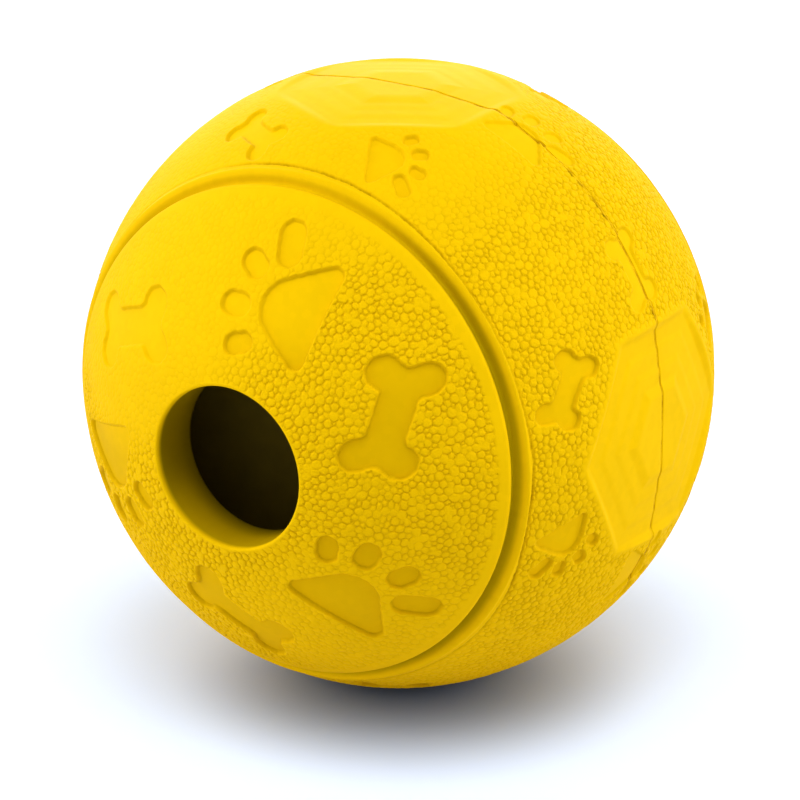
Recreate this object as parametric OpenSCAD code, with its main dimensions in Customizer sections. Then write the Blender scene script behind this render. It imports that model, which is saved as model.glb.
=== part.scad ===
// Treat dispensing ball: two bonded rubber halves with a round mouth and an inner two-disc labyrinth.
// Z is up, the mouth looks along -Y, and the ball stands with the middle of its bottom flat on the origin.

/* [Ball] */
// radius of the ball over its skin
ball_r = 35; // [32:0.5:45]
// thickness of the moulded rubber wall
wall_t = 6.3; // [5.5:0.1:7]
// radius of the round mouth that treats go in and out of
mouth_r = 9; // [7:0.5:11]
// size of the bevel round the mouth
mouth_bevel = 0.5; // [0.2:0.1:1]

/* [Ring groove] */
// angle from the mouth axis to the groove's steep inner wall
groove_in_deg = 51.5; // [48:0.5:52.5]
// angle from the mouth axis to the outer end of the groove's floor
groove_floor_deg = 53; // [52.7:0.1:54]
// angle from the mouth axis to the top of the groove's outer slope
groove_out_deg = 55.6; // [54.5:0.1:57]
// depth of the groove below the skin
groove_depth = 2.1; // [1:0.1:2.8]

/* [Hexagonal flats] */
// half of the width across the sides of a hexagonal flat
flat_apothem = 12; // [11:0.5:13]
// radius of the shallow dome that the flats follow
flat_dome_r = 90; // [70:5:120]
// how far the edge of a flat lies below the skin at the hexagon's corners
flat_sink = 0.3; // [0.2:0.05:0.5]
// number of nested steps on each flat, the flat middle one included
step_count = 3; // [2:1:4]
// distance from one step to the next
step_pitch = 2.35; // [1.8:0.05:2.5]
// height of one step
step_rise = 0.25; // [0.15:0.05:0.35]

/* [Sunk paws and bones] */
// depth of the sunk paws and bones
motif_depth = 0.5; // [0.3:0.1:0.8]
// size of the large paw across its toes
paw_span = 16; // [14:0.5:16.5]
// distance from the middle of the large bone to each end pair of lobes
bone_half = 4.5; // [4:0.1:5]
// half of the distance between the two lobes of an end
bone_spread = 2.15; // [2.05:0.05:2.5]
// radius of a lobe of the large bone
bone_lobe_r = 2; // [1.6:0.1:2.1]
// half of the width of the large bone's shaft
bone_shaft = 2.1; // [1.5:0.1:2.3]
// size of the small bones and of the paws on the seam against the large ones
small_share = 0.65; // [0.55:0.01:0.7]
// size of the small paws beside the flats against the large ones
small_paw_share = 0.55; // [0.5:0.01:0.65]
// angle from the mouth axis to the middle of each large paw
paw_pol_deg = 32.2; // [31.5:0.1:33.5]
// angle from the mouth axis to the middle of each large bone
bone_pol_deg = 33.3; // [32:0.1:34.5]
// angle from the mouth axis to the small motifs beside each flat
small_pol_deg = 65.2; // [64.5:0.1:66]
// angle from the mouth axis to the small motifs that cross the seam
seam_pol_deg = 89.2; // [88:0.1:90]
// turn of the first large paw about the mouth axis
paw_psi_deg = 12.5; // [5:0.5:20]
// turn of the first large bone about the mouth axis
bone_psi_deg = 67; // [60:0.5:75]
// slant of the bones from the way round the ball
bone_slant_deg = -38; // [-50:1:-30]
// slant of the small paws from the way round the ball
small_paw_slant_deg = 29; // [20:1:40]
// how far round the ball the small motifs stand from the middle line of a flat
beside_deg = 16.2; // [15:0.1:18]
// skin left between the small paw on the seam and the flat beside it
seam_paw_gap = 0.3; // [0.2:0.1:1]
// how far round from a flat the small bone on the seam lies
seam_bone_psi_deg = 58.8; // [56:0.1:60]

/* [Seam] */
// thickness of the bond between the two halves
bond_t = 0.3; // [0.1:0.05:0.5]
// rubber left between the cavity and the tongue
tongue_gap = 1.5; // [1.1:0.1:1.8]
// thickness of the tongue
tongue_t = 1.4; // [1:0.1:1.6]
// height of the tongue on the front half
tongue_h = 2.5; // [1.5:0.1:3.5]

/* [Labyrinth] */
// distance from the seam to the middle of each disc
disc_y = 9; // [7.5:0.5:11]
// thickness of each disc
disc_t = 3; // [2:0.5:4]
// how far a disc's edge sits in the wall
disc_seat = 0.8; // [0.5:0.1:1.2]
// gap round a disc in its seat
disc_gap = 0.1; // [0.05:0.05:0.3]
// radius of the window in each disc
window_r = 8.5; // [7:0.5:10]
// distance from the ball's axis to the middle of each window
window_off = 6; // [5:0.5:7]

/* [Hidden] */
$fn = 96;
quarter = 90;
half_turn = 180;
third = 120;
rubber = [0.96, 0.78, 0.05];
bond_colour = [0.54, 0.42, 0.02];
disc_colour = [0.16, 0.13, 0.03];
cavity_r = ball_r - wall_t;
tongue_r = cavity_r + tongue_gap;
flat_corner_r = flat_apothem / cos(30);
dome_drop = flat_dome_r - sqrt(pow(flat_dome_r, 2) - pow(flat_corner_r, 2));
dome_top = sqrt(pow(ball_r - flat_sink, 2) - pow(flat_corner_r, 2)) + dome_drop;
dome_z = dome_top - flat_dome_r;
stand_h = dome_top + step_count * step_rise - step_rise / 4;
disc_in = disc_y - disc_t / 2;
seat_r = sqrt(pow(cavity_r, 2) - pow(disc_in, 2)) + disc_seat;
disc_r = seat_r - disc_gap;
motif_h = 6 * motif_depth;
// share of the end radius that a bar's straight sides keep
waist_share = 0.97;
// the paw's outline as shares of its span, toes along x: pads as pairs of round ends
toe_shares = [
    [[0.156, -0.456], 0.094, [0.094, -0.312], 0.091],
    [[0.319, -0.181], 0.084, [0.263, -0.15], 0.084],
    [[0.319, 0.131], 0.084, [0.263, 0.125], 0.087],
    [[0.181, 0.375], 0.075, [0.125, 0.344], 0.075]
];
nose_shares = [[-0.106, 0.019], 0.225];
heel_shares = [[[-0.263, -0.306], 0.066], [[-0.269, 0.306], 0.066]];
// how far the paw's last toe reaches to its side, as a share of its span
reach_share = toe_shares[3][0][1] + toe_shares[3][1];
seam_paw_deg = asin(flat_apothem / ball_r)
    + asin((paw_span * small_share * reach_share + seam_paw_gap) / ball_r);

// part to draw, or all of them

// stands the ball on its bottom flat
module standing() {
    translate([0, 0, stand_h]) children();
}

// turns a profile about the ball's axis, with the profile's y towards the mouth
module turned() {
    rotate([90, 0, 0]) rotate_extrude() children();
}

// point of a profile at an angle from the mouth axis
function skin_point(deg, r) = r * [sin(deg), cos(deg)];

// upright bar with round ends of two sizes
module bar(p, r, q, s) {
    turn = atan2(q[1] - p[1], q[0] - p[0]);
    lean = acos((r - s) / norm(q - p));
    left = waist_share * [cos(turn + lean), sin(turn + lean)];
    right = waist_share * [cos(turn - lean), sin(turn - lean)];
    translate(p) cylinder(h = motif_h, r = r);
    translate(q) cylinder(h = motif_h, r = s);
    linear_extrude(height = motif_h) polygon([p + r * left, q + s * left, q + s * right, p + r * right]);
}

// upright paw of the span given, toes along x
module paw(span) {
    for (toe = toe_shares) bar(toe[0] * span, toe[1] * span, toe[2] * span, toe[3] * span);
    for (heel = heel_shares)
        bar(nose_shares[0] * span, nose_shares[1] * span, heel[0] * span, heel[1] * span);
    bar(heel_shares[0][0] * span, heel_shares[0][1] * span, heel_shares[1][0] * span, heel_shares[1][1] * span);
}

// upright bone, its length along x
module bone(share) {
    for (side = [-1, 1])
        for (lobe = [-1, 1])
            translate([side * bone_half, lobe * bone_spread] * share)
                cylinder(h = motif_h, r = bone_lobe_r * share);
    linear_extrude(height = motif_h)
        square([2 * (bone_half + bone_lobe_r / 2), 2 * bone_shaft] * share, center = true);
}

// sinks a motif into the skin at an angle from the mouth axis and a turn about it
module on_skin(pol, psi, slant) {
    rotate([0, psi, 0]) rotate([quarter - pol, 0, 0]) difference() {
        rotate([0, 0, slant]) translate([0, 0, ball_r + motif_depth - motif_h]) children();
        rotate([quarter, 0, quarter]) sphere(r = ball_r - motif_depth);
    }
}

// the large motifs round the mouth and the small ones beside the flats, on one half
module half_motifs() {
    for (psi = [0, third, 2 * third]) {
        on_skin(paw_pol_deg, paw_psi_deg + psi, half_turn) paw(paw_span);
        on_skin(bone_pol_deg, bone_psi_deg + psi, bone_slant_deg) bone(1);
    }
    for (psi = [0, quarter, 2 * quarter, 3 * quarter]) {
        on_skin(small_pol_deg, psi + beside_deg, small_paw_slant_deg) paw(paw_span * small_paw_share);
        on_skin(small_pol_deg, psi - beside_deg, bone_slant_deg) bone(small_share);
    }
}

// the small motifs that cross the seam
module seam_motifs() {
    for (psi = [0, quarter, 2 * quarter, 3 * quarter]) {
        on_skin(seam_pol_deg, psi + seam_paw_deg, quarter) paw(paw_span * small_share);
        on_skin(seam_pol_deg, psi + seam_bone_psi_deg, 0) bone(small_share);
    }
}

// hexagonal column standing on the ball's middle, with corners towards and away from the mouth
module hex_column(apothem) {
    rotate([0, 0, quarter]) cylinder(h = ball_r + flat_sink, r = apothem / cos(30), $fn = 6);
}

// what is taken off the skin for one hexagonal flat with its nested steps
module flat_cut() {
    difference() {
        hex_column(flat_apothem);
        translate([0, 0, dome_z]) sphere(r = flat_dome_r);
        for (step = [1 : step_count - 1])
            intersection() {
                hex_column(flat_apothem - step * step_pitch);
                translate([0, 0, dome_z]) sphere(r = flat_dome_r + step * step_rise);
            }
        rotate([0, 0, quarter])
            cylinder(h = stand_h, r = (flat_apothem - step_count * step_pitch) / cos(30), $fn = 6);
    }
}

// the four flats round the seam
module flat_cuts() {
    for (psi = [0, quarter, 2 * quarter, 3 * quarter]) rotate([0, psi, 0]) flat_cut();
}

// everything that is sunk into the skin of the front half, or of the back half
module skin_cuts(back) {
    flat_cuts();
    rotate([0, 0, back ? half_turn : 0]) half_motifs();
    seam_motifs();
}

// section of one half of the ball, with its ring groove and the seat of its disc
module half_section() {
    difference() {
        circle(r = ball_r);
        circle(r = cavity_r);
        translate([-2 * ball_r, -2 * ball_r]) square([2 * ball_r, 4 * ball_r]);
        translate([-ball_r, -2 * ball_r]) square([3 * ball_r, 2 * ball_r + bond_t / 2]);
        polygon([
            skin_point(groove_in_deg, ball_r + groove_depth),
            skin_point(groove_in_deg, ball_r - groove_depth),
            skin_point(groove_floor_deg, ball_r - groove_depth),
            skin_point(groove_out_deg, ball_r),
            skin_point(groove_out_deg, ball_r + groove_depth)
        ]);
        translate([0, disc_in - disc_gap]) square([seat_r, disc_t + 2 * disc_gap]);
    }
}

// front half: mouth, ring groove, flats, motifs and the tongue of the seam
module front_shell() {
    color(rubber) standing() difference() {
        turned() {
            difference() {
                half_section();
                square([mouth_r, 2 * ball_r]);
                polygon([
                    [0, sqrt(pow(ball_r, 2) - pow(mouth_r, 2)) - mouth_bevel],
                    [mouth_r, sqrt(pow(ball_r, 2) - pow(mouth_r, 2)) - mouth_bevel],
                    [mouth_r + 3 * mouth_bevel, ball_r],
                    [0, ball_r]
                ]);
            }
            translate([tongue_r, -tongue_h]) square([tongue_t, tongue_h + bond_t]);
        }
        skin_cuts(false);
    }
}

// rear half: closed, with the same skin and the slot that takes the tongue
module rear_shell() {
    color(rubber) standing() difference() {
        rotate([0, 0, half_turn]) turned() difference() {
            half_section();
            translate([tongue_r - bond_t / 2, 0]) square([tongue_t + bond_t, tongue_h + bond_t / 2]);
        }
        skin_cuts(true);
    }
}

// bond that fills the gap between the halves and shows as the line round the ball
module seam_bond() {
    color(bond_colour) standing() difference() {
        turned() difference() {
            union() {
                difference() {
                    circle(r = ball_r);
                    circle(r = cavity_r);
                    translate([-2 * ball_r, -2 * ball_r]) square([2 * ball_r, 4 * ball_r]);
                    translate([0, bond_t / 2]) square([2 * ball_r, 2 * ball_r]);
                    translate([0, -2 * ball_r - bond_t / 2]) square([2 * ball_r, 2 * ball_r]);
                }
                translate([tongue_r - bond_t / 2, -tongue_h - bond_t / 2])
                    square([tongue_t + bond_t, tongue_h + bond_t / 2]);
            }
            translate([tongue_r, -tongue_h]) square([tongue_t, tongue_h + bond_t]);
        }
        skin_cuts(false);
    }
}

// labyrinth disc with its window off to one side
module baffle(side) {
    rotate([quarter, 0, 0])
        difference() {
            translate([0, 0, side * disc_y - disc_t / 2]) cylinder(h = disc_t, r = disc_r);
            translate([0, side * window_off, side * disc_y - disc_t]) cylinder(h = 2 * disc_t, r = window_r);
        }
}

// disc behind the mouth, window up
module front_baffle() {
    color(disc_colour) standing() baffle(1);
}

// the same disc in the rear half, window down
module rear_baffle() {
    color(disc_colour) standing() baffle(-1);
}

front_shell();
rear_shell();
seam_bond();
front_baffle();
rear_baffle();
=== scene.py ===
import math

import bpy
import numpy as np
from mathutils import Matrix, Vector


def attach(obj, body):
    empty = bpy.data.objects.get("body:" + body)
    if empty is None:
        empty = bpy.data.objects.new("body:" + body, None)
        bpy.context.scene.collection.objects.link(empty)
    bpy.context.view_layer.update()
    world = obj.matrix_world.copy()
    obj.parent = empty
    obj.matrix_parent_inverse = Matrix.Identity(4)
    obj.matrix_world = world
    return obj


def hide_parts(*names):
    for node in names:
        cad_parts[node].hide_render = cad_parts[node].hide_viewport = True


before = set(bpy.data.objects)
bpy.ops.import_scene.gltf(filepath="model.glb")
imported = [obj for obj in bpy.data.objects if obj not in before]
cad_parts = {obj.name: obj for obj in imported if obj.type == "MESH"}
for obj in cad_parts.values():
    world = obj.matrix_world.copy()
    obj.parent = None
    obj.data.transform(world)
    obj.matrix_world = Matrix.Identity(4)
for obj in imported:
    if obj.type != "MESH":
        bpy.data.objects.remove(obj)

bl_info = {
    "name": "Treat Dispensing Ball",
    "version": (1, 0, 0),
    "blender": (4, 5, 0),
    "location": "View3D > Sidebar > Treat Ball",
    "description": "Builds the pebbled rubber skin, the seam line and the studio round the packed ball",
    "category": "Object",
}

MM = 0.001
QUARTERS = (0, 90, 180, 270)
THIRDS = (0, 120, 240)
TOP_FLAT = 0
# The paw's outline as shares of its span, toes along x: bars given by each round end's place and radius.
TOES = (
    ((0.156, -0.456), 0.094, (0.094, -0.312), 0.091),
    ((0.319, -0.181), 0.084, (0.263, -0.150), 0.084),
    ((0.319, 0.131), 0.084, (0.263, 0.125), 0.087),
    ((0.181, 0.375), 0.075, (0.125, 0.344), 0.075),
)
PAD = (
    ((-0.106, 0.019), 0.225, (-0.263, -0.306), 0.066),
    ((-0.106, 0.019), 0.225, (-0.269, 0.306), 0.066),
    ((-0.263, -0.306), 0.066, (-0.269, 0.306), 0.066),
)
# Motifs of one half: shape, degrees from the mouth axis, degrees round it, slant in degrees, and repeats.
HALF_MOTIFS = (
    ("large paw", 32.2, 12.5, 180, THIRDS),
    ("large bone", 33.65, 66.2, -38, THIRDS),
    ("small paw", 65.2, 16.2, 29, QUARTERS),
    ("small bone", 65.2, -16.2, -38, QUARTERS),
)
# Motifs across the seam: degrees from the mouth axis, and degrees from a flat to the bone after it.
SEAM_MOTIF_POL = 89.2
SEAM_BONE_PSI = 58.8
# Share of a seam motif's depth that wear has left.
SEAM_DEPTH_SHARE = 0.6
# The worn groove's section: points as shares of the way over its wall and over its slope, and then the depth
# share at each of them, with the floor's outer end and the slope's top in their places.
WALL_SHARES = (0.1, 0.45, 0.7)
SLOPE_SHARES = (0.3, 0.6, 0.77)
DEPTH_SHARES = (0, 0.05, 0.22, 0.95, 1, 0.16, 0.02, 0)
# Where the grain begins outside the groove: degrees round the mouth axis, degrees from it, and the hairline's
# depth share there.
GRAIN_BORDER = (
    (-60, 56.4, 0.4), (-20, 56.8, 0.35), (-8, 56.9, 0.9), (12, 56.8, 1.0), (24, 56.4, 1.0),
    (40, 55.95, 0.9), (60, 55.8, 0.6), (75, 56.0, 0.7), (86, 56.5, 1.0), (97, 56.0, 0.9),
    (106, 56.2, 1.0), (116, 56.8, 1.0), (132, 57.0, 0.6), (180, 56.5, 0.5), (240, 56.2, 0.6),
)
# Where the skin is worn: the way there, the cosines between which the wear sets in, and the shares of the
# grain and of the motifs' relief that are gone.
WORN = (
    ((-0.366, -0.752, 0.549), 0.8, 0.93, 0.75, 0.6),
    ((-0.102, -0.234, 0.967), 0.66, 0.88, 0.75, 0.6),
    ((-0.455, -0.828, 0.327), 0.9, 0.96, 0.75, 1.0),
    ((0.34, -0.753, -0.564), 0.88, 0.98, 0.5, 0.0),
)
# Wear on a flat: the share of a nested step's height that is left, the softness of the steps in millimetres,
# and the height of the inner nested level over the dome, in steps as moulded.
TOP_FLAT_WEAR = (0.25, 1.6, 2.4)
FLAT_WEAR = (0.5, 1, 1.9)
# The photograph's view: the ways back to the camera and up, and the camera's distance in ball radii.
VIEW_BACK = (0.5035, -0.7880, 0.3543)
VIEW_UP = (-0.1908, 0.2985, 0.9351)
VIEW_DISTANCE = 15
# Soft boxes of the studio: degrees round from the camera's right by way of behind, degrees up, and level.
SOFT_BOXES = (
    (0, 8, 5.9), (45, 8, 1.0), (90, 8, 6.6), (135, 8, 0.9), (180, 8, 5.6), (135, 28, 0.7), (275, 77, 5.7),
    (262, 14, 1.1),
)
# How sharply a soft box falls off, as a power of the cosine.
SOFT_BOX_FOCUS = 12.0
# Places of a colour Mix node's two inputs and of its result.
MIX_A = 6
MIX_B = 7
MIX_RESULT = 2


def linear(code):
    """Linear RGBA of an sRGB hex colour."""
    parts = [int(code[i:i + 2], 16) / 255 for i in (1, 3, 5)]
    return [p / 12.92 if p <= 0.04045 else ((p + 0.055) / 1.055) ** 2.4 for p in parts] + [1.0]


def length(name, description, millimetres):
    """A length setting, given in millimetres."""
    return bpy.props.FloatProperty(
        name=name, description=description, default=millimetres * MM, min=0.0, precision=5,
        subtype="DISTANCE", unit="LENGTH",
    )


def turn(name, description, degrees):
    """An angle setting, given in degrees."""
    return bpy.props.FloatProperty(
        name=name, description=description, default=math.radians(degrees),
        subtype="ANGLE", unit="ROTATION",
    )


def proportion(name, description, value):
    """A setting that is a share of another."""
    return bpy.props.FloatProperty(name=name, description=description, default=value)


def colour(name, description, code):
    """A colour setting, given as an sRGB hex value."""
    return bpy.props.FloatVectorProperty(
        name=name, description=description, default=linear(code), size=4, min=0.0, max=1.0,
        subtype="COLOR",
    )


class BallSizes(bpy.types.PropertyGroup):
    """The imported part's own sizes, and those of the finer relief that only shows here."""

    ball_r: length("Ball radius", "Radius over the skin", 35)
    wall_t: length("Wall", "Thickness of the rubber wall", 6.3)
    stand_h: length("Centre height", "Height of the ball's middle above the floor", 33.5739)
    mouth_r: length("Mouth radius", "Radius of the mouth's straight wall", 9)
    lip_r: length("Lip", "Rounding of the mouth's edge", 0.42)
    groove_in: turn("Groove start", "Angle from the mouth axis to the steep inner wall", 51.5)
    groove_floor: turn("Groove floor", "Angle to the outer end of the floor", 53)
    groove_out: turn("Groove end", "Angle to the top of the outer slope", 55.6)
    groove_depth: length("Groove depth", "Depth below the skin", 2.1)
    flat_apothem: length("Flat half width", "Half of the width across a flat's sides", 12)
    flat_dome_r: length("Flat dome radius", "Radius of the shallow dome that a flat follows", 90)
    flat_sink: length("Flat sink", "Depth of a flat's corners below the skin", 0.3)
    step_pitch: length("Step pitch", "Distance between nested steps", 2.35)
    step_rise: length("Step rise", "Height of a step as moulded", 0.25)
    motif_depth: length("Motif depth", "Depth of the sunk paws and bones", 0.45)
    paw_span: length("Paw span", "Size of a large paw across its toes", 16)
    bone_half: length("Bone half length", "From the middle of a bone to a pair of lobes", 4.65)
    bone_spread: length("Bone spread", "Half of the distance between two lobes", 2.35)
    bone_lobe_r: length("Bone lobe radius", "Radius of a lobe", 1.9)
    bone_fillet: length("Bone fillet", "Softness of the corner between shaft and lobe", 0.9)
    bone_skew_share: proportion("Bone skew", "How far its ends run askew, against their width", 0.15)
    bone_shaft: length("Bone shaft", "Half of the shaft's width", 2.1)
    small_share: proportion("Small share", "Small bones and the seam's paws against large ones", 0.65)
    small_paw_share: proportion("Small paw share", "Paws beside the flats against large ones", 0.55)
    seam_paw_gap: length("Seam paw gap", "Skin between a seam paw and its flat", 0.3)
    bond_t: length("Bond", "Thickness of the bond between the halves", 0.3)
    tongue_gap: length("Tongue inset", "Rubber between the cavity and the tongue", 1.5)
    tongue_t: length("Tongue thickness", "Thickness of the tongue", 1.4)
    tongue_h: length("Tongue height", "Height of the tongue", 2.5)
    disc_y: length("Disc place", "Distance from the seam to a disc's middle", 9)
    disc_t: length("Disc thickness", "Thickness of a disc", 3)
    disc_seat: length("Disc seat", "Depth of a disc's seat in the wall", 0.8)
    disc_gap: length("Disc gap", "Gap round a disc in its seat", 0.1)
    skin_step: length("Skin step", "Spacing of the skin's points", 0.155)
    edge_w: length("Edge softness", "Width over which a sunk edge falls", 0.16)
    grain_pitch: length("Grain spacing", "Least distance between two pebbles of the grain", 0.61)
    grain_h: length("Grain height", "Height of a pebble over its crevice", 0.14)


class BallColours(bpy.types.PropertyGroup):
    """Colours as they look in plain light; those of the crevices and hollows, the groove, the bore and
    cavity, the discs and the paper near the ball are painted shade.
    """

    rubber: colour("Rubber", "Yellow rubber, as moulded", "#ECBE04")
    # Painted shade, drawn into the grain's crevices, the motifs' floors and feet and the hairline.
    crease_shade: colour("Crease", "Rubber in the crevices of the grain and the sunk motifs", "#A88000")
    # Painted shade, drawn into the groove's floor.
    crevice: colour("Crevice", "Rubber in the groove, olive", "#8A8C00")
    # Painted shade: the dark olive of the bore and the cavity.
    inside: colour("Inside", "Rubber of the bore and the cavity, dark olive", "#7A6600")
    # Painted shade: the discs are drawn dark for the shade inside the ball.
    disc: colour("Disc", "Rubber of the two inner discs", "#8E780C")
    bond: colour("Bond", "Rubber cement of the seam", "#C08C00")
    floor: colour("Floor", "Studio paper", "#DCEAFF")
    # Painted shadow: the paper is drawn darker and bluer close to the ball.
    shade: colour("Shade", "Studio paper close to the ball, against the yellow thrown on it", "#586E9E")


def smooth(low, high, x):
    """0 up to low, 1 from high, and a soft step between."""
    t = np.clip((x - low) / (high - low), 0, 1)
    return t * t * (3 - 2 * t)


def waves(x, seed, count=6, first=3):
    """A smooth, irregular line, mostly between -1 and 1, that closes after one turn of x in radians."""
    rng = np.random.default_rng(seed)
    total = np.zeros_like(x)
    for k in range(count):
        total += np.sin(x * rng.integers(first * 2 ** k, first * 2 ** (k + 1)) + rng.uniform(0, math.tau))
    return total / math.sqrt(count / 2) / 2


def angles(columns):
    """Angles about the mouth axis of a row's points, from the middle between two flats."""
    return np.arange(columns) / columns * math.tau - math.pi / 4


def direction(pol, psi):
    """Unit vector at angles from the mouth axis and about it."""
    return np.stack([np.sin(pol) * np.sin(psi), -np.cos(pol), np.sin(pol) * np.cos(psi)], axis=-1)


def ring(across, along, psi):
    """Points at angles about the mouth axis, at a distance from it and a place along it."""
    return np.stack([across * np.sin(psi), np.full(len(psi), along), across * np.cos(psi)], axis=1)


def bar_distance(p, a, ra, b, rb):
    """Distance from points to a bar with round ends of two sizes, below zero inside."""
    a, b = np.array(a), np.array(b)
    along = b - a
    span = math.hypot(*along)
    unit = along / span
    t = (p - a) @ unit
    off = np.abs((p - a) @ np.array([-unit[1], unit[0]]))
    t = np.clip(t - off * (ra - rb) / math.sqrt(span ** 2 - (ra - rb) ** 2), 0, span)
    return np.hypot(*(p - a - t[:, None] * unit).T) - (ra + (rb - ra) * t / span)


def paw_distance(p, span):
    """Distance from points to the outline of a paw."""
    bars = [bar_distance(p / span, *bar) for bar in TOES + PAD]
    return np.min(bars, axis=0) * span


def bone_distance(p, size, share):
    """Distance from points to a bone's outline, its ends a little askew and its shaft blended into them."""
    x, y = np.abs(p + np.outer(p[:, 1], [size.bone_skew_share, 0])).T
    lobe = np.hypot(x - size.bone_half * share, y - size.bone_spread * share) - size.bone_lobe_r * share
    edge_x = x - (size.bone_half + size.bone_lobe_r / 2) * share
    edge_y = y - size.bone_shaft * share
    shaft = np.hypot(np.maximum(edge_x, 0), np.maximum(edge_y, 0))
    shaft = shaft + np.minimum(np.maximum(edge_x, edge_y), 0)
    soft = size.bone_fillet * share
    blend = np.maximum(soft - np.abs(lobe - shaft), 0) / soft
    return np.minimum(lobe, shaft) - blend ** 2 * soft / 4


def motifs(size, rear):
    """Each sunk motif: its direction, its x and y, a distance function, and the share of its depth left."""
    small = size.small_share
    shapes = {
        "large paw": lambda p: paw_distance(p, size.paw_span),
        "seam paw": lambda p: paw_distance(p, size.paw_span * small),
        "small paw": lambda p: paw_distance(p, size.paw_span * size.small_paw_share),
        "large bone": lambda p: bone_distance(p, size, 1),
        "small bone": lambda p: bone_distance(p, size, small),
    }
    last_toe = TOES[-1]
    reach = size.paw_span * small * (last_toe[0][1] + last_toe[1])
    beside_flat = math.degrees(
        math.asin(size.flat_apothem / size.ball_r) + math.asin((reach + size.seam_paw_gap) / size.ball_r))
    seam_motifs = (
        ("seam paw", SEAM_MOTIF_POL, beside_flat, 90, QUARTERS),
        ("small bone", SEAM_MOTIF_POL, SEAM_BONE_PSI, 0, QUARTERS),
    )
    found = []
    for rows, flipped, share in ((HALF_MOTIFS, rear, 1), (seam_motifs, False, SEAM_DEPTH_SHARE)):
        half_turn = np.array([-1, -1, 1]) if flipped else 1
        for shape, pol, first, slant, repeats in rows:
            pol, slant = math.radians(pol), math.radians(slant)
            for repeat in repeats:
                psi = math.radians(first + repeat)
                out = direction(pol, psi)
                east = np.array([math.cos(psi), 0, -math.sin(psi)])
                north = np.array(
                    [math.cos(pol) * math.sin(psi), math.sin(pol), math.cos(pol) * math.cos(psi)])
                x = east * math.cos(slant) + north * math.sin(slant)
                y = north * math.cos(slant) - east * math.sin(slant)
                found.append((out * half_turn, x * half_turn, y * half_turn, shapes[shape], share))
    return found


def groove_depth(size, pol):
    """Depth of the ring groove, its edges rounded, at angles from the nearer pole."""
    grid = 0.0002
    blur = 0.12 * MM
    reach = 60
    fine = np.arange(0, math.pi / 2, grid)
    start, floor, end = size.groove_in, size.groove_floor, size.groove_out
    # A worn edge falls steeply to a flat floor, and the outer wall climbs to a rounded lip.
    wall = [start + share * (floor - start) for share in WALL_SHARES]
    slope = [floor + share * (end - floor) for share in SLOPE_SHARES]
    raw = np.interp(fine, wall + [floor] + slope + [end], size.groove_depth * np.array(DEPTH_SHARES))
    width = blur / size.ball_r / grid
    kernel = np.exp(-0.5 * (np.arange(-reach, reach + 1) / width) ** 2)
    raw = np.convolve(raw, kernel / kernel.sum(), mode="same")
    return np.interp(pol, fine, raw)


def flat_surface(size, out, radius):
    """The radius with four stepped flats cut into the ball, and how much of each direction they cover."""
    corner = size.flat_apothem / math.cos(math.pi / 6)
    top = math.sqrt((size.ball_r - size.flat_sink) ** 2 - corner ** 2)
    top += size.flat_dome_r - math.sqrt(size.flat_dome_r ** 2 - corner ** 2)
    dome_z = top - size.flat_dome_r
    # A flat lies well within this cosine of its middle.
    reach = 0.85
    covered = np.zeros(len(out))
    for q in QUARTERS:
        psi = math.radians(q)
        up = out @ np.array([math.sin(psi), 0, math.cos(psi)])
        near = np.flatnonzero(up > reach)
        up = up[near]
        u = np.abs(out[near] @ np.array([math.cos(psi), 0, -math.sin(psi)])) * top / up
        v = np.abs(out[near, 1]) * top / up
        inside = size.flat_apothem - np.maximum(u, u / 2 + v * math.sqrt(0.75))
        # Wear has taken the first rise to the border and left the nested steps low, on top most of all.
        step_left, softness, inner_level = TOP_FLAT_WEAR if q == TOP_FLAT else FLAT_WEAR
        step = size.step_rise * step_left
        soft = MM * softness
        dome = size.flat_dome_r + inner_level * size.step_rise - 2 * step + np.zeros_like(u)
        for k in (1, 2):
            dome += step * smooth(-0.5 * soft, 0.5 * soft, inside - k * size.step_pitch)
        # The dome is met along each direction at the far root of a quadratic.
        half_b = up * dome_z
        met = half_b + np.sqrt(half_b ** 2 - dome_z ** 2 + dome ** 2)
        level = smooth(-0.8 * soft, 0.8 * soft, inside - 3 * size.step_pitch)
        met = met * (1 - level) + size.stand_h / up * level
        share = smooth(-0.5 * soft, 0.5 * soft, inside)
        radius[near] = radius[near] * (1 - share) + np.minimum(met, radius[near]) * share
        covered[near] = np.maximum(covered[near], smooth(-1.5 * MM, -0.1 * MM, inside))
    return radius, covered


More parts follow.
